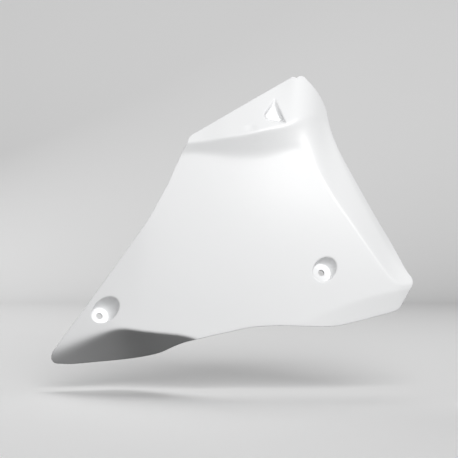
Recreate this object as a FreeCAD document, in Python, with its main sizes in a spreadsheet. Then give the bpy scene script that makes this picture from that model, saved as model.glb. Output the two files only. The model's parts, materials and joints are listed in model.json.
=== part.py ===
import FreeCAD, Part
import math
import os
from FreeCAD import Placement, Rotation, Vector

os.makedirs("parts", exist_ok=True)
doc = FreeCAD.newDocument("side_fairing")

# Driving sizes, in millimetres and degrees
SIZES = (
    ("panel_length", 400.0),
    ("panel_height", 320.0),
    ("wall", 2.2),
    ("rear_screw_from_rear", 102.0),
    ("rear_screw_above_base", 104.0),
    ("front_screw_from_nose", 54.0),
    ("front_screw_above_base", 55.0),
    ("front_screw_set_back", 41.0),
    ("screw_hole_diameter", 7.0),
    ("screw_tilt_up", 25.0),
    ("screw_tilt_side", 16.0),
    ("rear_recess_depth", 8.4),
    ("front_recess_depth", 17.0),
    ("recess_mouth_radius", 13.0),
    ("recess_draft", 12.0),
    ("recess_edge_radius", 1.0),
    ("face_bow_radius", 1200.0),
    ("face_lean_radius", 900.0),
    ("ridge_softness", 4.0),
    ("crease_softness", 14.0),
    ("pocket_depth", 6.0),
)

sheet = doc.addObject("Spreadsheet::Sheet", "dimensions")
for row, (name, value) in enumerate(SIZES, 1):
    sheet.set("A%d" % row, name)
    sheet.set("B%d" % row, str(value))
    sheet.setAlias("B%d" % row, name)
doc.recompute()


def size(name):
    return float(sheet.get(name))


LENGTH = size("panel_length")
HEIGHT = size("panel_height")
WALL = size("wall")
NOSE_X = size("rear_screw_from_rear") - LENGTH
BASE_Z = -size("rear_screw_above_base")

# The way both screws leave, out of the panel and a little up and to the rear
tilt_up = math.radians(size("screw_tilt_up"))
tilt_side = math.radians(size("screw_tilt_side"))
SCREW_WAY = Vector(math.sin(tilt_side), -math.cos(tilt_side) * math.cos(tilt_up), math.cos(tilt_side) * math.sin(tilt_up))
SKIN_STAND = -SCREW_WAY.y * (size("rear_recess_depth") + 0.5 * WALL)


def plan(share_x, share_z, depth=0.0):
    """A place on the panel, given as shares of its length and height."""
    return Vector(NOSE_X + share_x * LENGTH, depth, BASE_Z + share_z * HEIGHT)


def along(line, share):
    """The value of a design line at a share of the panel's length."""
    if share <= line[0][0]:
        return line[0][1]
    for (x0, v0), (x1, v1) in zip(line, line[1:]):
        if share <= x1:
            return v0 + (v1 - v0) * (share - x0) / (x1 - x0)
    return line[-1][1]


# Design lines of the outer skin: height over length, both as shares
FOLD = (
    (-0.10, 0.000), (0.002, 0.038), (0.067, 0.070), (0.138, 0.104), (0.193, 0.131), (0.240, 0.122), (0.305, 0.114),
    (0.376, 0.104), (0.450, 0.060), (0.560, 0.070), (0.640, 0.125), (0.714, 0.176), (0.801, 0.214), (0.891, 0.251),
    (0.960, 0.274), (1.100, 0.310),
)
CREASE = (
    (-0.10, 0.560), (0.277, 0.670), (0.382, 0.710), (0.578, 0.723), (0.660, 0.743), (0.700, 0.739), (0.721, 0.690),
    (0.755, 0.614), (0.795, 0.554), (0.829, 0.495), (0.884, 0.393), (0.945, 0.310), (1.000, 0.300), (1.100, 0.335),
)
RIDGE = (
    (-0.10, 0.660), (0.277, 0.740), (0.382, 0.768), (0.483, 0.791), (0.583, 0.814), (0.687, 0.838), (0.736, 0.841),
    (0.760, 0.810), (0.784, 0.743), (0.828, 0.637), (0.882, 0.519), (0.948, 0.376), (1.000, 0.340), (1.100, 0.370),
)
# How far the skin goes back for each millimetre of height: below the fold, above the crease and above the ridge
UNDER_SLOPE = ((0.0, 2.1), (0.38, 2.1), (0.52, 1.0), (0.66, 0.10), (0.80, 0.15), (1.0, 0.25))
FLANK_SLOPE = ((0.0, -0.35), (0.48, -0.33), (0.60, -0.24), (0.68, -0.05), (0.74, 0.10), (0.80, 0.20), (1.0, 0.22))
FLANGE_SLOPE = ((0.0, 0.50), (0.64, 0.50), (0.70, 0.36), (0.76, 0.36), (0.82, 0.48), (1.0, 0.5))
FOLD_SOFTNESS = ((0.0, 24.0), (0.17, 24.0), (0.26, 9.0), (0.40, 6.0), (0.60, 12.0), (1.0, 8.0))
# The lower front corner turns away a little more than the bow of the face
FRONT_TURN = ((0.0, 10.0), (0.10, 5.0), (0.20, 1.0), (0.27, 0.0), (1.0, 0.0))
COLUMNS = 25


def face_depth(share, height):
    """How far back the main face lies, before the flank and the under face are added."""
    x = NOSE_X + share * LENGTH
    bow = x * x / (2.0 * size("face_bow_radius")) - 0.017 * x
    lean = (height - 0.12 * HEIGHT) ** 2 / (2.0 * size("face_lean_radius"))
    return bow + lean + along(FRONT_TURN, share) - SKIN_STAND


def step_from(point, target, distance):
    """A point on the way from one point to another."""
    way = target - point
    return point + way * (distance / way.Length)


def column_poles(share):
    """The control points of one upright section of the skin, from the bottom to the top."""
    x = NOSE_X + share * LENGTH
    fold_z = BASE_Z + along(FOLD, share) * HEIGHT
    crease_z = BASE_Z + along(CREASE, share) * HEIGHT
    ridge_z = BASE_Z + along(RIDGE, share) * HEIGHT
    fold = Vector(x, face_depth(share, fold_z), fold_z)
    crease = Vector(x, face_depth(share, crease_z), crease_z)
    ridge = Vector(x, crease.y + along(FLANK_SLOPE, share) * (ridge_z - crease_z), ridge_z)
    middle_z = 0.5 * (fold_z + crease_z)
    middle_y = 2.0 * face_depth(share, middle_z) - 0.5 * (fold.y + crease.y)
    middle = Vector(x, middle_y, middle_z)
    bottom_z = BASE_Z - 0.08 * HEIGHT
    bottom = Vector(x, fold.y + along(UNDER_SLOPE, share) * (fold_z - bottom_z), bottom_z)
    top_z = BASE_Z + 1.06 * HEIGHT
    top = Vector(x, ridge.y + along(FLANGE_SLOPE, share) * (top_z - ridge_z), top_z)
    fold_soft = min(along(FOLD_SOFTNESS, share), 0.4 * (middle_z - fold_z), 0.8 * (fold_z - bottom_z))
    crease_soft = min(size("crease_softness"), 0.4 * (crease_z - middle_z), 0.45 * (ridge_z - crease_z))
    ridge_soft = min(size("ridge_softness"), 0.45 * (ridge_z - crease_z))
    return [
        bottom,
        step_from(fold, bottom, fold_soft),
        fold,
        step_from(fold, middle, fold_soft),
        middle,
        step_from(crease, middle, crease_soft),
        crease,
        step_from(crease, ridge, crease_soft),
        step_from(ridge, crease, ridge_soft),
        ridge,
        step_from(ridge, top, ridge_soft),
        top,
    ]


def even_knots(count, degree):
    spans = count - degree
    return [float(i) for i in range(spans + 1)], [degree + 1] + [1] * (spans - 1) + [degree + 1]


# Outer skin, as one surface that runs past the panel's edges
shares = [-0.10 + 1.20 * i / (COLUMNS - 1) for i in range(COLUMNS)]
poles = [column_poles(share) for share in shares]
knots_x, counts_x = even_knots(len(poles), 3)
knots_z, counts_z = even_knots(len(poles[0]), 2)
surface = Part.BSplineSurface()
surface.buildFromPolesMultsKnots(poles, counts_x, counts_z, knots_x, knots_z, False, False, 3, 2)
skin = doc.addObject("Part::Feature", "outer_skin")
skin.Shape = surface.toShape()


def skin_depth(x, z):
    """How far back the outer skin lies at a place seen from the front."""
    ray = Part.makeLine(Vector(x, -150, z), Vector(x, 300, z))
    return skin.Shape.distToShape(ray)[1][0][0].y


# Outline seen from the front, as shares of length and height, from the lip's front end up the front edge and round
OUTLINE = (
    ("arc", ((0.000, 0.031), (0.011, 0.063))),
    ("curve", (
        (0.077, 0.172), (0.145, 0.286), (0.212, 0.403), (0.278, 0.524), (0.314, 0.599), (0.345, 0.681),
        (0.365, 0.738), (0.380, 0.771),
    )),
    ("arc", ((0.382, 0.787), (0.391, 0.796))),
    ("line", ((0.664, 0.995),)),
    ("arc", ((0.673, 0.998), (0.679, 0.992))),
    ("arc", ((0.692, 1.000), (0.704, 0.994))),
    ("curve", (
        (0.737, 0.944), (0.758, 0.894), (0.767, 0.845), (0.783, 0.779), (0.810, 0.710), (0.871, 0.572),
        (0.947, 0.408), (0.996, 0.305),
    )),
    ("arc", ((1.000, 0.290), (0.994, 0.272))),
    ("line", ((0.965, 0.208),)),
    ("arc", ((0.961, 0.199), (0.953, 0.194))),
    ("curve", (
        (0.886, 0.171), (0.820, 0.153), (0.769, 0.142), (0.705, 0.143), (0.639, 0.146), (0.590, 0.144),
        (0.541, 0.137), (0.492, 0.124), (0.443, 0.109), (0.413, 0.099), (0.387, 0.090), (0.359, 0.075),
        (0.325, 0.055), (0.290, 0.038), (0.237, 0.021), (0.167, 0.009), (0.100, 0.003), (0.050, 0.000),
        (0.012, 0.004),
    )),
)
OUTLINE_START = (0.012, 0.004)
FRONT_PLANE = -60.0


def outline_edges():
    """The outline's edges; each curve leaves and meets its neighbours without a kink."""
    runs = []
    start = plan(*OUTLINE_START, FRONT_PLANE)
    for kind, places in OUTLINE:
        points = [start] + [plan(*place, FRONT_PLANE) for place in places]
        shape = None
        if kind == "arc":
            shape = Part.Arc(*points).toShape()
        if kind == "line":
            shape = Part.makeLine(*points)
        runs.append((points, shape))
        start = points[-1]
    edges = []
    for i, (points, shape) in enumerate(runs):
        if shape is None:
            before = runs[i - 1][1]
            after = runs[(i + 1) % len(runs)][1]
            curve = Part.BSplineCurve()
            curve.interpolate(
                Points=points,
                InitialTangent=before.tangentAt(before.LastParameter),
                FinalTangent=after.tangentAt(after.FirstParameter),
            )
            shape = curve.toShape()
        edges.append(shape)
    return edges


outline = doc.addObject("Part::Feature", "outline")
outline.Shape = Part.Face(Part.Wire(outline_edges()))
outline_block = doc.addObject("Part::Extrusion", "outline_block")
outline_block.Base = outline
outline_block.DirMode = "Custom"
outline_block.Dir = Vector(0, 1, 0)
outline_block.LengthFwd = 260.0
outline_block.Solid = True

trimmed_skin = doc.addObject("Part::Common", "trimmed_skin")
trimmed_skin.Base = skin
trimmed_skin.Tool = outline_block

panel_wall = doc.addObject("Part::Offset", "panel_wall")
panel_wall.Source = trimmed_skin
panel_wall.setExpression("Value", "-dimensions.wall")
panel_wall.Mode = 0
panel_wall.Join = 2
panel_wall.Fill = True

# Everything behind the outer skin, to end the recesses' cups flush with it
backing = doc.addObject("Part::Extrusion", "behind_the_skin")
backing.Base = skin
backing.DirMode = "Custom"
backing.Dir = Vector(0, 1, 0)
backing.LengthFwd = 200.0


def cone_at(name, place, way, start, radius, height, draft):
    """A cone that opens along a way, from a distance before its place."""
    cone = doc.addObject("Part::Cone", name)
    cone.setExpression("Radius1", radius)
    cone.setExpression("Height", height)
    cone.setExpression("Radius2", "%s + (%s) * tan(%s)" % (radius, height, draft))
    cone.Placement = Placement(place + way * start, Rotation(Vector(0, 0, 1), way))
    return cone


def screw_recess(name, place, depth):
    """A tapered recess for a screw's head, round a place in the middle of its floor's wall."""
    floor = "(dimensions.recess_mouth_radius - %s * tan(dimensions.recess_draft * 1 deg))" % depth
    draft = "dimensions.recess_draft * 1 deg"
    blank = cone_at(name + "_blank", place, SCREW_WAY, -0.5 * WALL, floor + " + dimensions.wall * 0.8", "60", draft)
    cup = doc.addObject("Part::Common", name + "_cup")
    cup.Base = blank
    cup.Tool = backing
    hollow = cone_at(name + "_hollow", place, SCREW_WAY, 0.5 * WALL, floor, "60", draft)
    hole = doc.addObject("Part::Cylinder", name + "_hole")
    hole.setExpression("Radius", "dimensions.screw_hole_diameter / 2")
    hole.Height = 60.0
    hole.Placement = Placement(place - SCREW_WAY * 30.0, Rotation(Vector(0, 0, 1), SCREW_WAY))
    return cup, [hollow, hole]


REAR_SCREW = Vector(0, 0, 0)
FRONT_SCREW = Vector(
    NOSE_X + size("front_screw_from_nose"), size("front_screw_set_back"), BASE_Z + size("front_screw_above_base")
)
cups = []
hollows = []
for name, place, depth in (
    ("rear_recess", REAR_SCREW, "dimensions.rear_recess_depth"),
    ("front_recess", FRONT_SCREW, "dimensions.front_recess_depth"),
):
    cup, tools = screw_recess(name, place, depth)
    cups.append(cup)
    hollows += tools

# Three-cornered pocket in the joint flange: its mouth and its floor, seen from the front
POCKET_MOUTH = ((0.622, 0.922), (0.588, 0.862), (0.657, 0.834))
POCKET_FLOOR = ((0.615, 0.915), (0.590, 0.864), (0.640, 0.844))


def grown(corners, distance):
    """A polygon with every side moved out by a distance, seen from the front."""
    lines = []
    for a, b in zip(corners, corners[1:] + corners[:1]):
        side = Vector(b.x - a.x, 0, b.z - a.z)
        out = Vector(side.z, 0, -side.x) * (distance / side.Length)
        lines.append((a + out, side))
    moved = []
    for (p, d), (q, e), corner in zip(lines[-1:] + lines[:-1], lines, corners):
        cross = d.x * e.z - d.z * e.x
        t = ((q.x - p.x) * e.z - (q.z - p.z) * e.x) / cross
        moved.append(Vector(p.x + d.x * t, corner.y, p.z + d.z * t))
    return moved


def pocket_loft(name, mouth, floor):
    """A tapered body from the pocket's floor through its mouth and on past the skin."""
    beyond = [m + (m - f) * 1.5 for m, f in zip(mouth, floor)]
    ends = []
    for label, corners in (("floor", floor), ("beyond", beyond)):
        end = doc.addObject("Part::Feature", "%s_%s" % (name, label))
        end.Shape = Part.makePolygon(corners + corners[:1])
        ends.append(end)
    loft = doc.addObject("Part::Loft", name)
    loft.Sections = ends
    loft.Solid = True
    loft.Ruled = True
    return loft


def pocket_corners(shares, depth):
    corners = []
    for share in shares:
        corner = plan(*share)
        corner.y = skin_depth(corner.x, corner.z) + depth
        corners.append(corner)
    return corners


mouth = pocket_corners(POCKET_MOUTH, 0.0)
floor = pocket_corners(POCKET_FLOOR, size("pocket_depth"))
pocket_hollow = pocket_loft("pocket_hollow", mouth, floor)
behind = [corner + Vector(0, WALL, 0) for corner in grown(floor, 0.8 * WALL)]
pocket_blank = pocket_loft("pocket_blank", grown(mouth, 1.1 * WALL), behind)
pocket_cup = doc.addObject("Part::Common", "pocket_cup")
pocket_cup.Base = pocket_blank
pocket_cup.Tool = backing
cups.append(pocket_cup)
hollows.append(pocket_hollow)

panel_with_cups = doc.addObject("Part::MultiFuse", "panel_with_cups")
panel_with_cups.Shapes = [panel_wall] + cups
all_hollows = doc.addObject("Part::MultiFuse", "all_hollows")
all_hollows.Shapes = hollows
side_fairing = doc.addObject("Part::Cut", "side_fairing")
side_fairing.Base = panel_with_cups
side_fairing.Tool = all_hollows
side_fairing.Label = "side_fairing"
doc.recompute()

for item in doc.Objects:
    if "Invalid" in item.State or "Error" in item.State:
        raise RuntimeError("%s did not build" % item.Name)
    if hasattr(item, "Shape") and (item.Shape.isNull() or not item.Shape.isValid()):
        raise RuntimeError("%s has no valid shape" % item.Name)
if len(side_fairing.Shape.Solids) != 1:
    raise RuntimeError("side_fairing is not one solid")
side_fairing.Shape.exportStep("parts/side_fairing.step")
print("volume_cm3", round(side_fairing.Shape.Volume / 1000.0, 2), "screw_way", SCREW_WAY, "front_screw", FRONT_SCREW)
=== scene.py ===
"""Dresses the side fairing: gel-coated skin, woven inner side, trimmed edge, and a plain stage."""

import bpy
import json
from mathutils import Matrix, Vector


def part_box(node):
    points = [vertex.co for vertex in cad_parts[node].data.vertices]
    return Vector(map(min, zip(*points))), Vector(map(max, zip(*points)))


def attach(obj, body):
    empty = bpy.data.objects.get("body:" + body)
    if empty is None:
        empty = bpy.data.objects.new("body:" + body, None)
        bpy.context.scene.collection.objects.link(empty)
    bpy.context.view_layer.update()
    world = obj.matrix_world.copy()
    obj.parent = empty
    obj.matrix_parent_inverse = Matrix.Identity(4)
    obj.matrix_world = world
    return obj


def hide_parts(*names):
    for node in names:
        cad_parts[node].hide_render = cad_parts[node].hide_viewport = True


bl_info = {
    "name": "Side fairing",
    "version": (1, 0, 0),
    "blender": (4, 5, 0),
    "location": "View3D > Sidebar > Side fairing",
    "description": "Builds a moulded motorbike side fairing and a plain studio stage",
    "category": "Object",
}

import json
import math

import bmesh
import bpy
import numpy as np
from mathutils import Vector
from mathutils.geometry import delaunay_2d_cdt

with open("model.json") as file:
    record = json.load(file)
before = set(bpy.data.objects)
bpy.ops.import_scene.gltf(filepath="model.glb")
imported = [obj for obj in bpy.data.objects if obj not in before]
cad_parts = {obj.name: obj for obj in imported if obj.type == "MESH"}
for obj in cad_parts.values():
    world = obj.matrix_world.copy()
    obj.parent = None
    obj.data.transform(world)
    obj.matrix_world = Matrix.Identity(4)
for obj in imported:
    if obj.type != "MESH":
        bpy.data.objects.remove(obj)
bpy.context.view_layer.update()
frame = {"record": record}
MM = 0.001

# Design lines of the outer skin: height over length, both as shares of the panel
FOLD = (
    (-0.093, 0.004), (0.017, 0.049), (0.074, 0.079), (0.127, 0.107), (0.189, 0.135), (0.205, 0.137),
    (0.251, 0.129), (0.297, 0.122), (0.358, 0.117), (0.388, 0.112), (0.415, 0.099), (0.488, 0.064),
    (0.570, 0.069), (0.636, 0.111), (0.691, 0.152), (0.745, 0.186), (0.811, 0.216), (0.838, 0.230),
    (0.888, 0.249), (0.935, 0.262), (0.960, 0.268), (1.004, 0.278), (1.103, 0.292),
)
CREASE = (
    (-0.093, 0.560), (0.283, 0.716), (0.387, 0.737), (0.455, 0.731), (0.529, 0.722), (0.597, 0.728),
    (0.650, 0.743), (0.691, 0.753), (0.706, 0.742), (0.723, 0.703), (0.759, 0.636), (0.791, 0.568),
    (0.835, 0.493), (0.888, 0.395), (0.935, 0.314), (0.960, 0.286), (1.004, 0.292), (1.103, 0.312),
)
RIDGE = (
    (-0.093, 0.640), (0.283, 0.757), (0.389, 0.771), (0.456, 0.778), (0.486, 0.788), (0.535, 0.793),
    (0.569, 0.803), (0.595, 0.812), (0.624, 0.818), (0.661, 0.829), (0.691, 0.848), (0.740, 0.864),
    (0.762, 0.864), (0.782, 0.784), (0.801, 0.711), (0.860, 0.570), (0.934, 0.406), (0.978, 0.327),
    (1.020, 0.312), (1.103, 0.332),
)
# How far the skin goes back for each millimetre of height:
# below the fold, above the crease and above the ridge
UNDER_SLOPE = (
    (0.000, 1.50), (0.100, 1.72), (0.180, 1.93), (0.250, 2.10), (0.380, 1.95), (0.520, 1.0), (0.660, 0.10),
    (0.800, 0.16), (1.000, 0.25),
)
FLANK_SLOPE = (
    (0.000, -0.35), (0.460, -0.36), (0.570, -0.33), (0.630, -0.22), (0.670, -0.10), (0.710, 0.10),
    (0.760, 0.28), (1.000, 0.32),
)
FLANGE_SLOPE = ((0.000, 0.50), (0.620, 0.50), (0.680, 0.38), (0.760, 0.36), (0.800, 0.45), (1.000, 0.50))
# How far from their lines the fold, the crease and the ridge begin to round, in millimetres
FOLD_SOFTNESS = (
    (0.00, 30.0), (0.07, 26.0), (0.12, 20.0), (0.16, 13.0), (0.19, 7.0), (0.24, 3.5), (0.40, 3.5),
    (0.65, 6.0), (0.80, 4.0),
)
CREASE_SOFTNESS = ((0.00, 10.0), (0.62, 10.0), (0.70, 4.5), (1.00, 4.0))
RIDGE_SOFTNESS = ((0.00, 2.5), (0.60, 3.0), (0.70, 7.0), (0.80, 5.0), (1.00, 5.0))
# Where the lower front corner and the rear corner turn away
TURN_LINE = (
    (0.004, 0.176), (0.150, 0.189), (0.200, 0.220), (0.257, 0.245), (0.343, 0.278), (0.472, 0.276),
    (0.699, 0.226),
)
FRONT_TURN = 0.13
REAR_TURN_FROM = 0.957
REAR_TURN = 0.30
# Radii of the main face along the length and the height, in millimetres
FACE_BOW_RADIUS = 1200.0
FACE_LEAN_RADIUS = 900.0
# Places along the length where the upright sections stand
SECTIONS = (
    [-0.10, -0.05] + [0.03 * i for i in range(0, 10)] + [0.32, 0.36, 0.40, 0.44, 0.48, 0.52, 0.56, 0.60]
    + [0.63, 0.655, 0.68, 0.70, 0.72, 0.74, 0.765, 0.79, 0.83, 0.87, 0.91, 0.935]
    + [0.96, 0.98, 1.0, 1.04, 1.10]
)
FACE_STEPS = 4
# Outline seen from the front, as shares: up the front edge from the lip's end, and round
OUTLINE = (
    ("arc", ((0.0045, 0.008), (0.0005, 0.027))),
    ("curve", (
        (0.005, 0.044), (0.016, 0.065), (0.047, 0.118), (0.082, 0.174), (0.133, 0.260), (0.184, 0.347),
        (0.235, 0.434), (0.285, 0.525), (0.317, 0.597), (0.334, 0.637), (0.350, 0.683), (0.360, 0.709),
        (0.373, 0.744), (0.384, 0.768), (0.387, 0.780),
    )),
    ("arc", ((0.3907, 0.7897), (0.397, 0.797))),
    ("line", ((0.667, 0.993),)),
    ("arc", ((0.676, 0.997), (0.684, 0.992))),
    ("arc", ((0.697, 1.000), (0.709, 0.993))),
    ("curve", (
        (0.728, 0.968), (0.744, 0.942), (0.759, 0.909), (0.768, 0.878), (0.773, 0.847), (0.779, 0.814),
        (0.787, 0.786), (0.801, 0.744), (0.827, 0.682), (0.863, 0.601), (0.913, 0.492), (0.963, 0.383),
        (0.994, 0.317),
    )),
    ("arc", ((1.000, 0.296), (0.994, 0.275))),
    ("line", ((0.970, 0.221),)),
    ("arc", ((0.964, 0.209), (0.953, 0.199))),
    ("curve", (
        (0.921, 0.187), (0.873, 0.171), (0.824, 0.156), (0.791, 0.148), (0.758, 0.146), (0.709, 0.147),
        (0.644, 0.149), (0.596, 0.147), (0.547, 0.140), (0.498, 0.126), (0.448, 0.112), (0.415, 0.101),
        (0.390, 0.092), (0.365, 0.080), (0.330, 0.058), (0.312, 0.046), (0.277, 0.031), (0.223, 0.016),
        (0.153, 0.007), (0.087, 0.002), (0.037, 0.000), (0.016, 0.002),
    )),
)
OUTLINE_START = (0.016, 0.002)
# Corners of the flange's pocket at its mouth and its floor
POCKET_MOUTH = ((0.625, 0.924), (0.593, 0.862), (0.602, 0.843), (0.660, 0.831))
POCKET_FLOOR = ((0.621, 0.903), (0.598, 0.863), (0.607, 0.850), (0.640, 0.842))
# How far the pocket's floor lies under the skin at each of its corners, in millimetres
POCKET_DEPTHS = (1.8, 6.0, 8.8, 8.8)
# How far its corners are rounded, and how near its floor's middle the rings of faces go
POCKET_FLOOR_ROUND = 1.6
POCKET_MOUTH_ROUND = 4.5
POCKET_MIDDLE = 0.8
# Middle and half size of the flange's dimple
DIMPLE = (0.558, 0.818)
DIMPLE_REACH = (8.5, 4.5)
# The screws' holes, in millimetres, and how far their edges are broken
HOLE_RADIUS = 3.5
HOLE_EDGE = 0.35
# The recesses' draft in degrees, and their floors' radii
RECESS_DRAFT = 9.0
RECESS_FLOORS = (("rear_screw", 10.7), ("front_screw", 10.0))
RING_POINTS = 96
# Roundings of the recesses: floor's corner in front and behind, and the rim behind
FLOOR_CORNER = 1.2
CUP_CORNER = 1.0
CUP_RIM = 1.2
# Whole size of the panel, the step along its outline, and how far it may pass the solid's box
LENGTH = 400.0
HEIGHT = 321.0
OUTLINE_STEP = 1.4
BOX_SLACK = 0.002
# The camera: film and distance, and the photo's width in pixels and millimetres for each of them
SENSOR_WIDTH = 36.0
CAMERA_DISTANCE = 1.9
PHOTO_PIXELS = 458
PIXEL_SIZE = 1.087


# Sizes and colours that a user may change

class FairingShape(bpy.types.PropertyGroup):
    wall: bpy.props.FloatProperty(
        name="Wall", description="Thickness of the laminate", default=0.0022, unit="LENGTH"
    )
    edge_round: bpy.props.FloatProperty(
        name="Edge rounding", description="Radius of the outer edge all round", default=0.0007, unit="LENGTH"
    )
    mouth_round: bpy.props.FloatProperty(
        name="Recess rim", description="How far the rims of the screw recesses are rounded", default=0.0011,
        unit="LENGTH",
    )
    pocket_round: bpy.props.FloatProperty(
        name="Pocket rim", description="How far the rim of the pocket is rounded", default=0.0015,
        unit="LENGTH",
    )
    dimple_depth: bpy.props.FloatProperty(
        name="Dimple depth", description="Depth of the shallow dimple in the flange", default=0.0009,
        unit="LENGTH",
    )
    facet: bpy.props.FloatProperty(
        name="Facet size", description="Size of the skin's triangles", default=0.0018, unit="LENGTH"
    )


class FairingFinish(bpy.types.PropertyGroup):
    gelcoat: bpy.props.FloatVectorProperty(
        name="Gelcoat", description="Colour of the glossy outer skin", default=(0.87, 0.875, 0.88),
        subtype="COLOR", min=0.0, max=1.0,
    )
    fibre: bpy.props.FloatVectorProperty(
        name="Fibre", description="Colour of the woven inner side", default=(0.020, 0.021, 0.023),
        subtype="COLOR", min=0.0, max=1.0,
    )
    tow_width: bpy.props.FloatProperty(
        name="Tow width", description="Width of one strand of the weave", default=0.0021, unit="LENGTH"
    )


class StageLook(bpy.types.PropertyGroup):
    floor: bpy.props.FloatVectorProperty(
        name="Floor", description="Colour of the floor and the backdrop", default=(0.93, 0.93, 0.93),
        subtype="COLOR", min=0.0, max=1.0,
    )
    floor_drop: bpy.props.FloatProperty(
        name="Floor drop", description="How far the floor lies below the panel", default=0.03, unit="LENGTH"
    )
    key_power: bpy.props.FloatProperty(
        name="Key light", description="Power of the large soft light", default=690.0, min=0.0, unit="POWER"
    )
    key_size: bpy.props.FloatProperty(
        name="Key size", description="Side of the large soft light", default=4.5, unit="LENGTH"
    )
    key_distance: bpy.props.FloatProperty(
        name="Key distance", description="From the panel to the large soft light", default=8.0, unit="LENGTH"
    )
    key_height: bpy.props.FloatProperty(
        name="Key height", description="How steeply the light falls", default=math.radians(21.0),
        unit="ROTATION",
    )
    key_side: bpy.props.FloatProperty(
        name="Key side", description="How far the light stands to the right", default=math.radians(8.0),
        unit="ROTATION",
    )
    top_power: bpy.props.FloatProperty(
        name="Top light", description="Power of the light above the floor behind the panel", default=20.0,
        min=0.0, unit="POWER",
    )
    back_power: bpy.props.FloatProperty(
        name="Back light", description="Power of the light on the panel's inner side", default=17.0, min=0.0,
        unit="POWER",
    )
    top_size: bpy.props.FloatProperty(
        name="Top size", description="Side of the light above the floor", default=1.8, unit="LENGTH"
    )
    beyond: bpy.props.FloatProperty(
        name="Beyond", description="How pale the surroundings look past the floor", default=0.55, min=0.0
    )
    fill: bpy.props.FloatProperty(
        name="Fill", description="Strength of the even light from all round", default=0.02, min=0.0
    )


# The outer skin as depth over length and height, in millimetres

def along(line, share):
    """The value of a design line at shares of the panel's length."""
    places, values = zip(*line)
    return np.interp(share, places, values)


def cubic_weights(count, at):
    """How much each control point of a cubic run counts at each place along it."""
    spans = count - 3
    knots = np.array([0] * 3 + list(range(spans + 1)) + [spans] * 3, float)
    at = np.clip(at, 0, spans - 1e-9)
    weights = [((knots[i] <= at) & (at < knots[i + 1])).astype(float) for i in range(count + 3)]
    for degree in (1, 2, 3):
        raised = []
        for i in range(len(weights) - 1):
            total = np.zeros_like(at)
            if knots[i + degree] > knots[i]:
                total += (at - knots[i]) / (knots[i + degree] - knots[i]) * weights[i]
            if knots[i + degree + 1] > knots[i + 1]:
                rest = knots[i + degree + 1] - at
                total += rest / (knots[i + degree + 1] - knots[i + 1]) * weights[i + 1]
            raised.append(total)
        weights = raised
    return np.array(weights).T


def unit(vectors):
    """The vectors, each one long."""
    return vectors / np.maximum(np.linalg.norm(vectors, axis=-1, keepdims=True), 1e-12)


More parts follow.
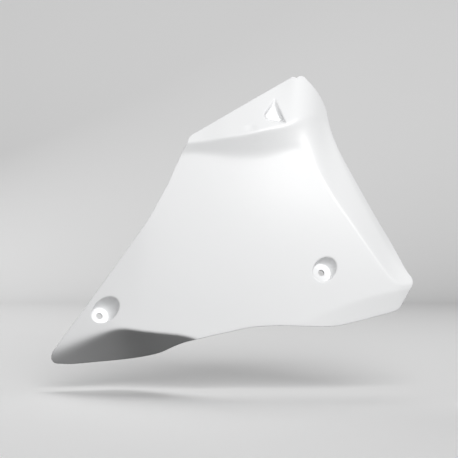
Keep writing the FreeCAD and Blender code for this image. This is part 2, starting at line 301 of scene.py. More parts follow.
class Skin:
    """The panel's outer skin, tabled over a fine plan."""

    STEP = 0.5
    REAR_SCREW_FROM_REAR = 100.4
    REAR_SCREW_ABOVE_BASE = 104.9
    RECESS_DEPTH = 8.4
    TILT_UP = math.radians(25.0)
    TILT_SIDE = math.radians(20.0)

    def __init__(self, length, height, wall):
        self.length = length
        self.height = height
        self.wall = wall
        self.nose = self.REAR_SCREW_FROM_REAR - length
        self.base = -self.REAR_SCREW_ABOVE_BASE
        self.screw_way = np.array((
            math.sin(self.TILT_SIDE),
            -math.cos(self.TILT_SIDE) * math.cos(self.TILT_UP),
            math.cos(self.TILT_SIDE) * math.sin(self.TILT_UP),
        ))
        self.stand = -self.screw_way[1] * (self.RECESS_DEPTH + 0.5 * wall)
        self.x = np.arange(self.nose - 15.0, self.nose + length + 15.0, self.STEP)
        self.z = np.arange(self.base - 15.0, self.base + height + 12.0, self.STEP)
        self.depth = self.table()
        self.slope_x, self.slope_z = np.gradient(self.depth, self.STEP)
        run = np.sqrt(1.0 + self.slope_z ** 2) * self.STEP
        self.run = np.cumsum(run, axis=1)

    def plan(self, places):
        """Length and height in millimetres of places given as shares."""
        places = np.asarray(places, float)
        return places * (self.length, self.height) + (self.nose, self.base)

    def face_depth(self, share, z):
        """How far back the main face lies."""
        x = self.nose + share * self.length
        bow = x * x / (2.0 * FACE_BOW_RADIUS) - 0.017 * x
        lean = (z - 0.12 * self.height) ** 2 / (2.0 * FACE_LEAN_RADIUS)
        turn_from = along(TURN_LINE, (z - self.base) / self.height)
        front = FRONT_TURN * self.length * max(0.0, turn_from - share)
        rear = REAR_TURN * self.length * max(0.0, share - REAR_TURN_FROM)
        return bow + lean + front + rear - self.stand

    def section(self, share):
        """The control points of one upright section, as depth and height."""
        fold_z, crease_z, ridge_z = (
            self.base + along(line, share) * self.height for line in (FOLD, CREASE, RIDGE)
        )
        face = []
        for i in range(FACE_STEPS + 1):
            z = fold_z + (crease_z - fold_z) * i / FACE_STEPS
            face.append(np.array((self.face_depth(share, z), z)))
        fold = face[0]
        crease = face[-1]
        ridge = np.array((crease[0] + along(FLANK_SLOPE, share) * (ridge_z - crease_z), ridge_z))
        bottom_z = self.base - 0.08 * self.height
        bottom = np.array((fold[0] + along(UNDER_SLOPE, share) * (fold_z - bottom_z), bottom_z))
        top_z = self.base + 1.06 * self.height
        top = np.array((ridge[0] + along(FLANGE_SLOPE, share) * (top_z - ridge_z), top_z))
        fold_soft = min(along(FOLD_SOFTNESS, share), 0.8 * (face[1][1] - fold_z), 0.8 * (fold_z - bottom_z))
        crease_soft = min(
            along(CREASE_SOFTNESS, share), 0.8 * (crease_z - face[-2][1]), 0.45 * (ridge_z - crease_z)
        )
        ridge_soft = min(along(RIDGE_SOFTNESS, share), 0.45 * (ridge_z - crease_z))

        def toward(point, target, distance):
            return point + unit(target - point) * distance

        return [
            bottom, (bottom + fold) / 2, toward(fold, bottom, fold_soft), fold,
            toward(fold, face[1], 0.5 * fold_soft),
            *face[1:-1], toward(crease, face[-2], crease_soft), crease, toward(crease, ridge, crease_soft),
            toward(ridge, crease, ridge_soft), ridge, toward(ridge, top, ridge_soft), (ridge + top) / 2, top,
        ]

    def table(self):
        """Depth at every place of the plan, from the smooth surface over all the sections."""
        poles = np.array([self.section(share) for share in SECTIONS])
        places = np.linspace(0, len(SECTIONS) - 3, 4001)
        lengths = cubic_weights(len(SECTIONS), places) @ (self.nose + np.array(SECTIONS) * self.length)
        columns = np.tensordot(cubic_weights(len(SECTIONS), np.interp(self.x, lengths, places)), poles, 1)
        rows = cubic_weights(poles.shape[1], np.linspace(0, poles.shape[1] - 3, 1600))
        depths = []
        for column in columns:
            curve = rows @ column
            depths.append(np.interp(self.z, curve[:, 1], curve[:, 0]))
        return np.array(depths)

    def read(self, table, plan):
        """A table's values at places between its own."""
        i = np.clip((plan[..., 0] - self.x[0]) / self.STEP, 0, len(self.x) - 1.001)
        j = np.clip((plan[..., 1] - self.z[0]) / self.STEP, 0, len(self.z) - 1.001)
        i0 = i.astype(int)
        j0 = j.astype(int)
        a = i - i0
        b = j - j0
        low = table[i0, j0] * (1 - a) + table[i0 + 1, j0] * a
        high = table[i0, j0 + 1] * (1 - a) + table[i0 + 1, j0 + 1] * a
        return low * (1 - b) + high * b

    def inward(self, plan):
        """The way into the wall, square to the skin."""
        slope_x = self.read(self.slope_x, plan)
        slope_z = self.read(self.slope_z, plan)
        return unit(np.stack([-slope_x, np.ones_like(slope_x), -slope_z], axis=-1))

    def at(self, plan, under=0.0):
        """Points on the skin, or a distance under it."""
        points = np.stack([plan[..., 0], self.read(self.depth, plan), plan[..., 1]], axis=-1)
        return points + self.inward(plan) * under

    def plan_under(self, points):
        """Where on the plan the wall stands whose inner side holds these points."""
        plan = points[..., [0, 2]]
        for _ in range(8):
            plan = points[..., [0, 2]] - self.inward(plan)[..., [0, 2]] * self.wall
        return plan

    def past_skin(self, points):
        """How far points lie behind the outer skin, along the view."""
        return points[..., 1] - self.read(self.depth, points[..., [0, 2]])

    def past_wall(self, points):
        """How far points lie behind the wall's inner side."""
        return self.past_skin(points) * self.inward(points[..., [0, 2]])[..., 1] - self.wall

    def outer_lip(self, lip, distance):
        """A loop on the outer skin, a distance outside a hollow's lip."""
        loop = widened(lip[:, [0, 2]], distance)
        return loop, self.at(loop)

    def inner_lip(self, lip, distance):
        """A loop on the wall's inner side, a distance outside a hollow's lip."""
        loop = widened(self.plan_under(lip), distance)
        return loop, self.at(loop, self.wall)

    def weave_place(self, plan):
        """Length and developed height, for a pattern that follows the skin."""
        return np.stack([plan[..., 0], self.read(self.run, plan)], axis=-1)


# Loops and sheets of the panel

def loop_tangents(points):
    """The way along a closed loop at each of its points."""
    return unit(np.roll(points, -1, axis=0) - np.roll(points, 1, axis=0))


def circle_arc(a, b, c, step):
    """Points along the arc from a through b to c, without its end."""
    d = 2 * (a[0] * (b[1] - c[1]) + b[0] * (c[1] - a[1]) + c[0] * (a[1] - b[1]))
    aa, bb, cc = (p @ p for p in (a, b, c))
    centre = np.array((
        (aa * (b[1] - c[1]) + bb * (c[1] - a[1]) + cc * (a[1] - b[1])) / d,
        (aa * (c[0] - b[0]) + bb * (a[0] - c[0]) + cc * (b[0] - a[0])) / d,
    ))
    angles = [math.atan2(p[1] - centre[1], p[0] - centre[0]) for p in (a, b, c)]
    turn = (b[0] - a[0]) * (c[1] - b[1]) - (b[1] - a[1]) * (c[0] - b[0])
    sweep = (angles[2] - angles[0]) % math.tau
    if turn < 0:
        sweep -= math.tau
    radius = np.linalg.norm(a - centre)
    count = max(3, math.ceil(abs(sweep) * radius / step))
    at = angles[0] + sweep * np.arange(count) / count
    points = centre + radius * np.stack([np.cos(at), np.sin(at)], axis=1)
    return points, angles[0], angles[0] + sweep, math.copysign(1, turn)


def spline_through(points, first, last, step):
    """Points along the smooth curve through the given ones that leaves and ends along two ways."""
    points = np.array(points)
    spans = np.linalg.norm(np.diff(points, axis=0), axis=1)
    at = np.concatenate([[0], np.cumsum(spans)])
    count = len(points)
    system = np.zeros((count, count))
    right = np.zeros((count, 2))
    system[0, 0] = system[-1, -1] = 1
    right[0] = first
    right[-1] = last
    for i in range(1, count - 1):
        system[i, i - 1] = spans[i]
        system[i, i] = 2 * (spans[i - 1] + spans[i])
        system[i, i + 1] = spans[i - 1]
        before = (points[i] - points[i - 1]) / spans[i - 1]
        after = (points[i + 1] - points[i]) / spans[i]
        right[i] = 3 * (spans[i] * before + spans[i - 1] * after)
    ways = np.linalg.solve(system, right)
    made = []
    for i, span in enumerate(spans):
        t = np.arange(max(1, round(span / step)))[:, None] / max(1, round(span / step))
        start = (2 * t ** 3 - 3 * t ** 2 + 1) * points[i] + (t ** 3 - 2 * t ** 2 + t) * span * ways[i]
        end = (3 * t ** 2 - 2 * t ** 3) * points[i + 1] + (t ** 3 - t ** 2) * span * ways[i + 1]
        made.append(start + end)
    return np.concatenate(made)


def outline_loop(skin, step):
    """The panel's outline on the plan, running anticlockwise."""
    runs = []
    start = skin.plan(OUTLINE_START)
    for kind, places in OUTLINE:
        points = [start] + [skin.plan(place) for place in places]
        runs.append((kind, points))
        start = points[-1]

    def end_way(kind, points, at_end):
        if kind == "line":
            return unit(points[1] - points[0])
        _, first, last, sense = circle_arc(*points, step)
        angle = last if at_end else first
        return np.array((-math.sin(angle), math.cos(angle))) * sense

    loop = []
    for i, (kind, points) in enumerate(runs):
        if kind == "arc":
            loop.append(circle_arc(*points, min(step, 1.0))[0])
        if kind == "line":
            count = math.ceil(np.linalg.norm(points[1] - points[0]) / step)
            loop.append(points[0] + (points[1] - points[0]) * np.arange(count)[:, None] / count)
        if kind == "curve":
            before = runs[i - 1]
            after = runs[(i + 1) % len(runs)]
            loop.append(spline_through(points, end_way(*before, True), end_way(*after, False), step))
    return np.concatenate(loop)[::-1]


def moved_aside(loop, distance):
    """A loop on the plan with every point moved to its left."""
    way = loop_tangents(loop)
    return loop + np.stack([-way[:, 1], way[:, 0]], axis=1) * distance


def widened(loop, distance):
    """A loop on the plan with every point moved outwards."""
    after = np.roll(loop, -1, axis=0)
    area = (loop[:, 0] * after[:, 1] - loop[:, 1] * after[:, 0]).sum()
    return moved_aside(loop, -distance if area > 0 else distance)


def inside(loop, points):
    """Which points lie in a loop on the plan."""
    found = np.zeros(len(points), bool)
    for (ax, az), (bx, bz) in zip(loop, np.roll(loop, -1, axis=0)):
        if az == bz:
            continue
        crosses = (az > points[:, 1]) != (bz > points[:, 1])
        found ^= crosses & (points[:, 0] < (bx - ax) * (points[:, 1] - az) / (bz - az) + ax)
    return found


def fill_plan(rim, holes, facet):
    """Even triangles between the rim and the holes; returns plan points and triangles."""
    row = facet * math.sqrt(0.75)
    low = rim.min(axis=0)
    high = rim.max(axis=0)
    grid = []
    for k, z in enumerate(np.arange(low[1], high[1], row)):
        x = np.arange(low[0] + (k % 2) * facet / 2, high[0], facet)
        grid.append(np.stack([x, np.full_like(x, z)], axis=1))
    grid = np.concatenate(grid)
    keep = inside(rim, grid)
    for hole in holes:
        keep &= ~inside(hole, grid)
    grid = grid[keep]
    borders = np.concatenate([rim, *holes])
    near = np.concatenate([
        ((part[:, None] - borders[None]) ** 2).sum(axis=2).min(axis=1) for part in np.array_split(grid, 60)
    ])
    grid = grid[near > (0.6 * facet) ** 2]
    edges = []
    first = 0
    for loop in (rim, *holes):
        edges += [(first + k, first + (k + 1) % len(loop)) for k in range(len(loop))]
        first += len(loop)
    points = np.concatenate([borders, grid])
    made, _, faces, _, _, _ = delaunay_2d_cdt([Vector(p) for p in points], edges, [], 0, 1e-6)
    made = np.array([tuple(p) for p in made])
    faces = np.array([tuple(face) for face in faces])
    middles = made[faces].mean(axis=1)
    keep = inside(rim, middles)
    for hole in holes:
        keep &= ~inside(hole, middles)
    return made, faces[keep]


def arch(a, b, c, shares):
    """Loops that turn from a to c round b."""
    return [(1 - t) ** 2 * a + 2 * t * (1 - t) * b + t ** 2 * c for t in shares]


class Hollow:
    """A recess in a sheet: straight ways from its middle over its floor's edge and up its wall."""

    def __init__(self, middle, edge, beyond, gap, place_on_sheet, rim, corner, innermost):
        self.middle = middle
        self.floor_run = np.linalg.norm(edge - middle, axis=1)
        self.floor_way = unit(edge - middle)
        self.wall_way = unit(beyond - edge)
        self.corner = corner
        self.loops = []
        reach = np.arange(innermost, self.floor_run.max() + 40.0, 0.1)
        gaps = gap(np.stack([self.at(np.full_like(self.floor_run, t)) for t in reach], axis=1))
        out = np.argmax(gaps < 0, axis=1)
        rows = np.arange(len(out))
        before = gaps[rows, out - 1]
        after = gaps[rows, out]
        meets = reach[out - 1] + 0.1 * before / (before - after)
        lip = self.at(meets)
        self.sheet_loop, start = place_on_sheet(lip, rim)
        self.loops += arch(start, lip, self.at(meets - rim), (0.0, 0.2, 0.4, 0.6, 0.8, 1.0))
        wanted = [meets - rim]
        top = np.maximum(meets - rim, self.floor_run + corner)
        for share in (0.66, 0.33, 0.0):
            wanted.append(self.floor_run + corner + (top - self.floor_run - corner) * share)
        for share in (0.6, 0.2, -0.2, -0.6, -1.0):
            wanted.append(self.floor_run + corner * share)
        for share in (0.66, 0.33, 0.0):
            wanted.append(innermost + (self.floor_run - corner - innermost) * share)
        for before, after in zip(wanted, wanted[1:]):
            after[:] = np.minimum(after, before - 0.02)
            self.loops.append(self.at(after))

    def at(self, run):
        """The points at a run along every way; the floor's corner is rounded."""
        def sharp(run):
            on_floor = np.minimum(run, self.floor_run)[:, None] * self.floor_way
            on_wall = np.maximum(run - self.floor_run, 0.0)[:, None] * self.wall_way
            return self.middle + on_floor + on_wall

        share = np.clip((run - self.floor_run + self.corner) / (2 * self.corner), 0.0, 1.0)[:, None]
        low, mid, high = (sharp(self.floor_run + self.corner * side) for side in (-1.0, 0.0, 1.0))
        turned = (1 - share) ** 2 * low + 2 * share * (1 - share) * mid + share ** 2 * high
        turning = (share > 0) & (share < 1)
        return np.where(turning, turned, sharp(run))


class Panel:
    """Collects the panel's faces, with the finish and the pattern's place of each."""

    GELCOAT, LAMINATE, CUT_EDGE = 0, 1, 2

    def __init__(self):
        self.points = []
        self.places = []
        self.faces = []
        self.finishes = []
        self.count = 0

    def add(self, points, places, faces, finish):
        self.points.append(points)
        self.places.append(places)
        self.faces += (np.asarray(faces) + self.count).tolist()
        self.finishes += [finish] * len(faces)
        self.count += len(points)

    def strip(self, loops, places, finish):
        """Faces between loops that follow each other."""
        size = len(loops[0])
        faces = []
        for ring in range(len(loops) - 1):
            for k in range(size):
                a = ring * size + k
                b = ring * size + (k + 1) % size
                faces.append((a, b, b + size, a + size))
        self.add(np.concatenate(loops), np.concatenate(places), faces, finish)

    def fan(self, loop, middle, places, finish):
        """Faces from a loop to a point in its middle."""
        size = len(loop)
        faces = [(k, (k + 1) % size, size) for k in range(size)]
        self.add(np.concatenate([loop, middle[None]]), np.concatenate([places, places[:1]]), faces, finish)

    def piece(self, name):
        """One closed mesh, with a map for the patterns, facing outwards."""
        mesh = bpy.data.meshes.new(name)
        mesh.from_pydata((np.concatenate(self.points) * MM).tolist(), [], self.faces)
        mesh.polygons.foreach_set("material_index", self.finishes)
        mesh.polygons.foreach_set("use_smooth", [True] * len(self.finishes))
        places = np.concatenate(self.places) * MM
        corners = np.zeros(len(mesh.loops), int)
        mesh.loops.foreach_get("vertex_index", corners)
        mesh.uv_layers.new(name="Weave").data.foreach_set("uv", places[corners].ravel())
        made = bmesh.new()
        made.from_mesh(mesh)
        bmesh.ops.remove_doubles(made, verts=made.verts, dist=2e-6)
        bmesh.ops.recalc_face_normals(made, faces=made.faces)
        open_edges = [edge for edge in made.edges if len(edge.link_faces) != 2]
        if open_edges:
            raise RuntimeError("the panel's mesh has %d open edges" % len(open_edges))
        made.to_mesh(mesh)
        made.free()
        piece = bpy.data.objects.new(name, mesh)
        bpy.context.scene.collection.objects.link(piece)
        return piece


def ring(count, middle, way, radius):
    """A circle's points round a way."""
    side = unit(np.cross(way, (0.0, 0.0, 1.0)))
    up = np.cross(side, way)
    angles = np.arange(count)[:, None] * math.tau / count
    return middle + (np.cos(angles) * side + np.sin(angles) * up) * radius


def rounded(corners, radius):
    """A polygon's loop with its corners rounded."""
    loop = []
    for before, corner, after in zip(np.roll(corners, 1, axis=0), corners, np.roll(corners, -1, axis=0)):
        start = corner + unit(before - corner) * radius
        end = corner + unit(after - corner) * radius
        next_start = after + unit(corner - after) * radius
        loop += arch(start, corner, end, (0.0, 0.2, 0.4, 0.6, 0.8, 1.0))
        loop += [end + (next_start - end) * share for share in (0.17, 0.33, 0.5, 0.67, 0.83)]
    return np.array(loop)


def level(corners):
    """The corners moved along the view into the plane of the first three."""
    a, b, c = corners[:3]
    normal = np.cross(b - a, c - a)
    moved = corners.copy()
    moved[:, 1] = a[1] - ((corners[:, 0] - a[0]) * normal[0] + (corners[:, 2] - a[2]) * normal[2]) / normal[1]
    return moved


def grown(corners, distance):
    """A polygon with every side moved out on the plan."""
    flat = corners[:, [0, 2]]
    side = np.roll(flat, -1, axis=0) - flat
    out = unit(np.stack([side[:, 1], -side[:, 0]], axis=1)) * distance
    moved = corners.copy()
    for i in range(len(corners)):
        p = flat[i - 1] + out[i - 1]
        q = flat[i] + out[i]
        d = side[i - 1]
        e = side[i]
        t = ((q[0] - p[0]) * e[1] - (q[1] - p[1]) * e[0]) / (d[0] * e[1] - d[1] * e[0])
        moved[i, [0, 2]] = p + d * t
    return moved


def screw_hollows(panel, skin, place, floor_radius, shape):
    """A screw's recess through the wall: its front, its hole and the back of its cup."""
    way = skin.screw_way
    wall = skin.wall
    draft = math.tan(math.radians(RECESS_DRAFT))
    front = place + way * wall / 2
    back = place - way * wall / 2
    round_way = ring(RING_POINTS, np.zeros(3), way, 1.0)
    innermost = HOLE_RADIUS + HOLE_EDGE
    rim = shape.mouth_round / MM

    edge = front + round_way * floor_radius
    beyond = edge + way + round_way * draft
    recess = Hollow(front, edge, beyond, skin.past_skin, skin.outer_lip, rim, FLOOR_CORNER, innermost)
    back_radius = floor_radius + 0.8 * wall
    edge = back + round_way * back_radius
    beyond = edge + way + round_way * draft
    cup = Hollow(back, edge, beyond, skin.past_wall, skin.inner_lip, CUP_RIM, CUP_CORNER, innermost)
    for hollow, finish in ((recess, panel.GELCOAT), (cup, panel.LAMINATE)):
        places = [loop[:, [0, 2]] for loop in hollow.loops]
        panel.strip(hollow.loops, places, finish)
    shares = (0.0, 0.33, 0.67, 1.0)
    front_ring = front + round_way * HOLE_RADIUS
    back_ring = back + round_way * HOLE_RADIUS
    bore = arch(recess.loops[-1], front_ring, front_ring - way * HOLE_EDGE, shares)
    bore += arch(back_ring + way * HOLE_EDGE, back_ring, cup.loops[-1], shares)
    around = np.arange(RING_POINTS) * math.tau / RING_POINTS * HOLE_RADIUS
    places = [np.stack([around, np.full(RING_POINTS, (loop - front)[0] @ way)], axis=1) for loop in bore]
    panel.strip(bore, places, panel.CUT_EDGE)
    return recess.sheet_loop, cup.sheet_loop


def pocket_hollows(panel, skin, shape):
    """The three-cornered pocket: its front, and the back of its cup."""
    wall = skin.wall

    def corners(places, depth):
        points = skin.at(skin.plan(places))
        points[:, 1] += depth
        return points

    mouth = corners(POCKET_MOUTH, 0.0)
    floor = corners(POCKET_FLOOR, np.array(POCKET_DEPTHS))
    back_mouth = grown(mouth, 1.1 * wall)
    back_floor = grown(floor, 0.8 * wall)
    back_floor[:, 1] += wall
    loops = []
    for mouth, floor, gap, on_sheet, rim, corner, finish in (
        (mouth, floor, skin.past_skin, skin.outer_lip, shape.pocket_round / MM, FLOOR_CORNER, panel.GELCOAT),
        (back_mouth, back_floor, skin.past_wall, skin.inner_lip, CUP_RIM, CUP_CORNER, panel.LAMINATE),
    ):
        floor = level(floor)
        beyond = level(mouth + (mouth - floor) * 1.5)
        edge = rounded(floor, POCKET_FLOOR_ROUND)
        middle = edge.mean(axis=0)
        far = rounded(beyond, POCKET_MOUTH_ROUND)
        hollow = Hollow(middle, edge, far, gap, on_sheet, rim, corner, POCKET_MIDDLE)
        places = [loop[:, [0, 2]] for loop in hollow.loops]
        panel.strip(hollow.loops, places, finish)
        panel.fan(hollow.loops[-1], middle, places[-1], finish)
        loops.append(hollow.sheet_loop)
    return loops


def outer_edge(panel, skin, outline, shape):
    """The trimmed edge all round, rounded at the outer and the inner side."""
    wall = skin.wall
    outer = shape.edge_round / MM
    inner = 0.6 * outer
    edge = skin.at(outline)
    inward = skin.inward(outline)
    into = unit(np.cross(loop_tangents(edge), inward))
    left = moved_aside(outline, 1.0) - outline
    turned = (into[:, [0, 2]] * left).sum(axis=1) < 0
    into[turned] *= -1
    outer_plan = moved_aside(outline, outer)
    inner_plan = moved_aside(outline, inner)
    middle = edge + (into + inward) * outer
    loops = [skin.at(outer_plan)]
    for turn in (0.25, 0.5, 0.75, 1.0):
        angle = turn * math.pi / 2
        loops.append(middle - inward * outer * math.cos(angle) - into * outer * math.sin(angle))
    run = np.cumsum(np.linalg.norm(edge - np.roll(edge, 1, axis=0), axis=1))

    def places(loops):
        return [np.stack([run, ((loop - edge) * inward).sum(axis=1)], axis=1) for loop in loops]

    panel.strip(loops, places(loops), panel.GELCOAT)
    middle = edge + into * inner + inward * (wall - inner)
    loops = [loops[-1]]
    for turn in (0.0, 0.5):
        angle = turn * math.pi / 2
        loops.append(middle - into * inner * math.cos(angle) + inward * inner * math.sin(angle))
    loops.append(skin.at(inner_plan, wall))
    panel.strip(loops, places(loops), panel.CUT_EDGE)
    return outer_plan, inner_plan


def dimple_depth(skin, plan, depth):
    """How far the flange's dimple goes into the skin."""
    away = (plan - skin.plan(DIMPLE)) / DIMPLE_REACH
    inside = np.clip(1.0 - (away ** 2).sum(axis=1), 0.0, 1.0)
    return depth * inside ** 2


def build_panel(shape):
    """The whole panel as one closed mesh."""
    low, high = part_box("side_fairing")
    skin = Skin(LENGTH, HEIGHT, shape.wall / MM)
    record = frame["record"]
    screws = {mount["name"]: np.array(mount["pos_m"]) / MM for mount in record["mounts"]}
    panel = Panel()
    outer_holes = []
    inner_holes = []
    for name, floor_radius in RECESS_FLOORS:
        front, back = screw_hollows(panel, skin, screws[name], floor_radius, shape)
        outer_holes.append(front)
        inner_holes.append(back)
    front, back = pocket_hollows(panel, skin, shape)
    outer_holes.append(front)
    inner_holes.append(back)
    outline = outline_loop(skin, OUTLINE_STEP)
    outer_rim, inner_rim = outer_edge(panel, skin, outline, shape)
    facet = shape.facet / MM
    plan, faces = fill_plan(outer_rim, outer_holes, facet)
    sunk = skin.at(plan)
    sunk[:, 1] += dimple_depth(skin, plan, shape.dimple_depth / MM)
    panel.add(sunk, skin.weave_place(plan), faces, panel.GELCOAT)
    plan, faces = fill_plan(inner_rim, inner_holes, facet)
    panel.add(skin.at(plan, skin.wall), skin.weave_place(plan), faces, panel.LAMINATE)
    piece = panel.piece("fairing_shell")
    box = [Vector(corner) for corner in piece.bound_box]
    for axis in range(3):
        least = min(corner[axis] for corner in box)
        most = max(corner[axis] for corner in box)
        if least < low[axis] - BOX_SLACK or most > high[axis] + BOX_SLACK:
            raise RuntimeError("the shell leaves the box of the CAD solid")
    return piece


# Materials, with shader maths written as Python expressions

class Value:
    """A number on a material's surface."""

    def __init__(self, maker, socket):
        self.maker = maker
        self.socket = socket

    def math(self, operation, *others):
        sockets = [self] + list(others)
        return self.maker.node("ShaderNodeMath", {"operation": operation}, dict(enumerate(sockets)))

    def __add__(self, other):
        return self.math("ADD", other)

    def __radd__(self, other):
        return self.math("ADD", other)

    def __sub__(self, other):
        return self.math("SUBTRACT", other)

    def __rsub__(self, other):
        return self.maker.node("ShaderNodeMath", {"operation": "SUBTRACT"}, {0: other, 1: self})

    def __mul__(self, other):
        return self.math("MULTIPLY", other)

    def __rmul__(self, other):
        return self.math("MULTIPLY", other)

    def __truediv__(self, other):
        return self.math("DIVIDE", other)

    def __lt__(self, other):
        return self.math("LESS_THAN", other)

    def __mod__(self, other):
        return self.math("FLOORED_MODULO", other)

    def floor(self):
        return self.math("FLOOR")

    def part(self):
        return self.math("FRACT")


class Maker:
    """Makes one material's nodes."""

    def __init__(self, name):
        self.material = bpy.data.materials.new(name)
        self.material.use_nodes = True
        self.tree = self.material.node_tree
        self.tree.nodes.clear()

    def node(self, kind, settings=None, sockets=None, output=0):
        """One node: its settings first, then its sockets' values or links; output by number or name."""
        made = self.tree.nodes.new(kind)
        for name, value in (settings or {}).items():
            setattr(made, name, value)
        for name, value in (sockets or {}).items():
            if isinstance(value, Value):
                self.tree.links.new(value.socket, made.inputs[name])
            else:
                made.inputs[name].default_value = value
        return Value(self, made.outputs[output])

    def blend(self, share, low, high):
        """A colour between two, by a share."""
        settings = {"data_type": "RGBA"}
        return self.node("ShaderNodeMix", settings, {0: share, 6: low, 7: high}, 2)

    def noise(self, place, scale, detail=2.0):
        sockets = {"Vector": place, "Scale": scale, "Detail": detail}
        return self.node("ShaderNodeTexNoise", {}, sockets, 0)

    def place(self):
        return self.node("ShaderNodeTexCoord", output="Object")

    def map_place(self):
        """The two values of the piece's own map."""
        flat = self.node("ShaderNodeUVMap", {"uv_map": "Weave"})
        return [self.node("ShaderNodeSeparateXYZ", {}, {0: flat}, axis) for axis in (0, 1)]

    def bump(self, height, strength, distance, normal=None):
        sockets = {"Height": height, "Strength": strength, "Distance": distance}
        if normal is not None:
            sockets["Normal"] = normal
        return self.node("ShaderNodeBump", {}, sockets)

    def finish(self, **sockets):
        named = {name.replace("_", " "): value for name, value in sockets.items()}
        shader = self.node("ShaderNodeBsdfPrincipled", {}, named)
        end = self.tree.nodes.new("ShaderNodeOutputMaterial")
        self.tree.links.new(shader.socket, end.inputs["Surface"])
        return self.material


def solid(colour):
    """A colour with its alpha."""
    return (*colour, 1.0)


def shade(colour, factor):
    return tuple(min(1.0, part * factor) for part in colour)


def gelcoat_material(finish):
    """White gelcoat as it comes out of a mould: even, satin, and faintly wavy."""
    make = Maker("gelcoat_white")
    place = make.place()
    cloud = make.noise(place, 9.0, 3.0)
    grain = make.noise(place, 420.0, 2.0)
    speck = make.noise(place, 1500.0, 1.0)
    colour = make.blend(cloud, solid(shade(finish.gelcoat, 0.97)), solid(shade(finish.gelcoat, 1.0)))
    rough = 0.38 + cloud * 0.08 + grain * 0.06
    wavy = make.bump(make.noise(place, 28.0, 2.0), 0.25, 0.0006)
    peel = make.bump(grain + speck * 0.3, 0.12, 0.0001, wavy)
    return make.finish(
        Base_Color=colour, Roughness=rough, Normal=peel, Coat_Weight=0.2, Coat_Roughness=0.2,
    )


def laminate_material(finish):
    """Twill carbon cloth under a thin coat of resin, as laid up on the back of the gelcoat; its tows are
    painted lighter at their crowns and where they lie on top, a painted sheen.
    """
    make = Maker("carbon_laminate")
    across, up = make.map_place()
    width = finish.tow_width
    bend = make.noise(make.place(), 22.0, 2.0)
    column = across / width + bend * 0.5
    row = up / width + bend * 0.4
    over = ((column.floor() + row.floor()) % 4.0) < 1.5
    side_a = (column.part() - 0.5) * 2.0
    side_b = (row.part() - 0.5) * 2.0
    crown_a = 1.0 - side_a * side_a
    crown_b = 1.0 - side_b * side_b
    crown_and_sheen = crown_a * over + crown_b * (1.0 - over)
    strands = make.noise(make.place(), 900.0, 1.0)
    # Painted sheen: the tows' crowns and the tows that lie on top are painted lighter, standing in for the
    # cloth's reflection; the strands' noise is random tone
    tone = crown_and_sheen * 0.5 + over * 0.28 + strands * 0.3
    colour = make.blend(tone, solid(shade(finish.fibre, 0.55)), solid(shade(finish.fibre, 2.3)))
    resin = make.noise(make.place(), 55.0, 3.0)
    rough = 0.34 + resin * 0.16 - over * 0.07
    bump = make.bump(crown_and_sheen * 0.7 + resin * 0.6, 0.35, 0.00018)
    return make.finish(
        Base_Color=colour, Roughness=rough, Normal=bump, Coat_Weight=0.5, Coat_Roughness=0.16,
    )


def cut_edge_material(finish):
    """The sawn edge: gelcoat in front, dark plies behind it, rubbed smooth."""
    make = Maker("cut_edge")
    _, depth = make.map_place()
    ragged = make.noise(make.place(), 700.0, 2.0)
    ply = ((depth + ragged * 0.00008) / 0.00028).part()
    line = ply < 0.3
    tone = line * 0.6 + ragged * 0.4
    dark = make.blend(tone, solid(shade(finish.fibre, 1.2)), solid(shade(finish.fibre, 4.0)))
    white = depth < 0.0008
    colour = make.blend(white, dark, solid(shade(finish.gelcoat, 0.9)))
    rough = 0.5 + ragged * 0.2
    bump = make.bump(ragged + line * 0.4, 0.3, 0.00006)
    return make.finish(Base_Color=colour, Roughness=rough, Normal=bump)


def stage_material(name, look):
    """Pale to the eye and darker to soft light, so that the floor doesn't light the panel from below."""
    make = Maker(name)
    seen = make.node("ShaderNodeLightPath", output="Is Camera Ray")
    mottle = make.noise(make.place(), 3.0, 2.0)
    pale = make.blend(mottle, solid(shade(look.floor, 0.985)), solid(look.floor))
    colour = make.blend(seen, solid(shade(look.floor, 0.08)), pale)
    return make.finish(Base_Color=colour, Roughness=0.8, Specular_IOR_Level=0.1)


# The stage

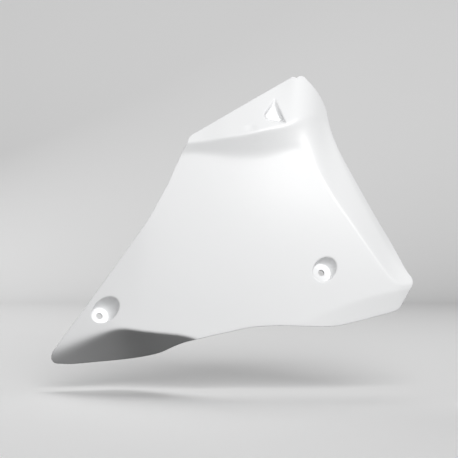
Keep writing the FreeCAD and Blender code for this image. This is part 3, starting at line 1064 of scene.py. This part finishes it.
def build_stage(look):
    """A floor that sweeps up behind the panel, one large soft light, and the camera."""
    low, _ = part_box("side_fairing")
    floor_z = low.z - look.floor_drop
    front = -6.8
    back = 2.4
    bend = 1.2
    top = 6.0
    profile = [(front, floor_z), (back, floor_z)]
    for step in range(1, 25):
        angle = step / 24 * math.pi / 2
        profile.append((back + bend * math.sin(angle), floor_z + bend * (1.0 - math.cos(angle))))
    profile.append((back + bend, top))
    points = []
    for y, z in profile:
        points += [(-8.0, y, z), (8.0, y, z)]
    faces = [(2 * i, 2 * i + 1, 2 * i + 3, 2 * i + 2) for i in range(len(profile) - 1)]
    mesh = bpy.data.meshes.new("floor_sweep")
    mesh.from_pydata(points, [], faces)
    mesh.polygons.foreach_set("use_smooth", [True] * len(faces))
    mesh.materials.append(stage_material("floor_paint", look))
    sweep = bpy.data.objects.new("floor_sweep", mesh)
    bpy.context.scene.collection.objects.link(sweep)

    aim = Vector((-0.10, 0.0, 0.06))
    elevation = look.key_height
    azimuth = look.key_side
    level_part = math.cos(elevation)
    way = Vector((math.sin(azimuth) * level_part, -math.cos(azimuth) * level_part, math.sin(elevation)))
    over = Vector((-0.10, 0.8, 2.2))
    behind = Vector((-1.5, 2.3, 1.3))
    for name, place, aimed, size, power in (
        ("key_light", aim + way * look.key_distance, way, look.key_size, look.key_power),
        ("top_light", over, Vector((0.0, 0.0, 1.0)), look.top_size, look.top_power),
        ("back_light", behind, behind - aim, look.top_size, look.back_power),
    ):
        lamp = bpy.data.lights.new(name, "AREA")
        lamp.shape = "SQUARE"
        lamp.size = size
        lamp.energy = power
        light = bpy.data.objects.new(name, lamp)
        light.location = place
        light.rotation_euler = aimed.to_track_quat("Z", "Y").to_euler()
        bpy.context.scene.collection.objects.link(light)

    world = bpy.data.worlds.new("studio_air")
    world.use_nodes = True
    air = world.node_tree.nodes["Background"]
    air.inputs["Color"].default_value = (1.0, 1.0, 1.0, 1.0)
    rays = world.node_tree.nodes.new("ShaderNodeLightPath")
    share = world.node_tree.nodes.new("ShaderNodeMapRange")
    share.inputs["To Min"].default_value = look.fill
    share.inputs["To Max"].default_value = look.beyond
    world.node_tree.links.new(rays.outputs["Is Camera Ray"], share.inputs["Value"])
    world.node_tree.links.new(share.outputs["Result"], air.inputs["Strength"])
    bpy.context.scene.world = world

    lens = bpy.data.cameras.new("photo_view")
    lens.sensor_width = SENSOR_WIDTH
    lens.lens = SENSOR_WIDTH * CAMERA_DISTANCE / (PHOTO_PIXELS * PIXEL_SIZE * MM)
    camera = bpy.data.objects.new("photo_view", lens)
    camera.location = (-0.100, -CAMERA_DISTANCE, 0.04805)
    camera.rotation_euler = (math.pi / 2, 0.0, 0.0)
    bpy.context.scene.collection.objects.link(camera)
    bpy.context.scene.camera = camera
    bpy.context.scene.view_settings.view_transform = "Standard"


# Operators, panel and registration

class FAIRING_OT_shell(bpy.types.Operator):
    """Build the moulded shell, with its recesses, pocket and trimmed edge"""

    bl_idname = "fairing.shell"
    bl_label = "Build the shell"

    def execute(self, context):
        finish = context.scene.fairing_finish
        piece = build_panel(context.scene.fairing_shape)
        for material in (gelcoat_material(finish), laminate_material(finish), cut_edge_material(finish)):
            piece.data.materials.append(material)
        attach(piece, "root")
        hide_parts("side_fairing")
        return {"FINISHED"}


class FAIRING_OT_stage(bpy.types.Operator):
    """Set up the floor, the light and the camera"""

    bl_idname = "fairing.stage"
    bl_label = "Set up the stage"

    def execute(self, context):
        build_stage(context.scene.fairing_stage)
        return {"FINISHED"}


class FAIRING_PT_panel(bpy.types.Panel):
    """Sizes, colours and steps of the side fairing"""

    bl_idname = "FAIRING_PT_panel"
    bl_label = "Side fairing"
    bl_space_type = "VIEW_3D"
    bl_region_type = "UI"
    bl_category = "Side fairing"

    def draw(self, context):
        layout = self.layout
        for label, group in (
            ("Shape", context.scene.fairing_shape),
            ("Finish", context.scene.fairing_finish),
            ("Stage", context.scene.fairing_stage),
        ):
            box = layout.box()
            box.label(text=label)
            for name in group.__annotations__:
                box.prop(group, name)
        layout.operator(FAIRING_OT_shell.bl_idname)
        layout.operator(FAIRING_OT_stage.bl_idname)


CLASSES = (FairingShape, FairingFinish, StageLook, FAIRING_OT_shell, FAIRING_OT_stage, FAIRING_PT_panel)
GROUPS = {"fairing_shape": FairingShape, "fairing_finish": FairingFinish, "fairing_stage": StageLook}


def register():
    for cls in CLASSES:
        bpy.utils.register_class(cls)
    for name, group in GROUPS.items():
        setattr(bpy.types.Scene, name, bpy.props.PointerProperty(type=group))


def unregister():
    for name in GROUPS:
        delattr(bpy.types.Scene, name)
    for cls in reversed(CLASSES):
        bpy.utils.unregister_class(cls)


def main():
    register()
    bpy.ops.fairing.shell()
    bpy.ops.fairing.stage()


if __name__ == "__main__":
    main()
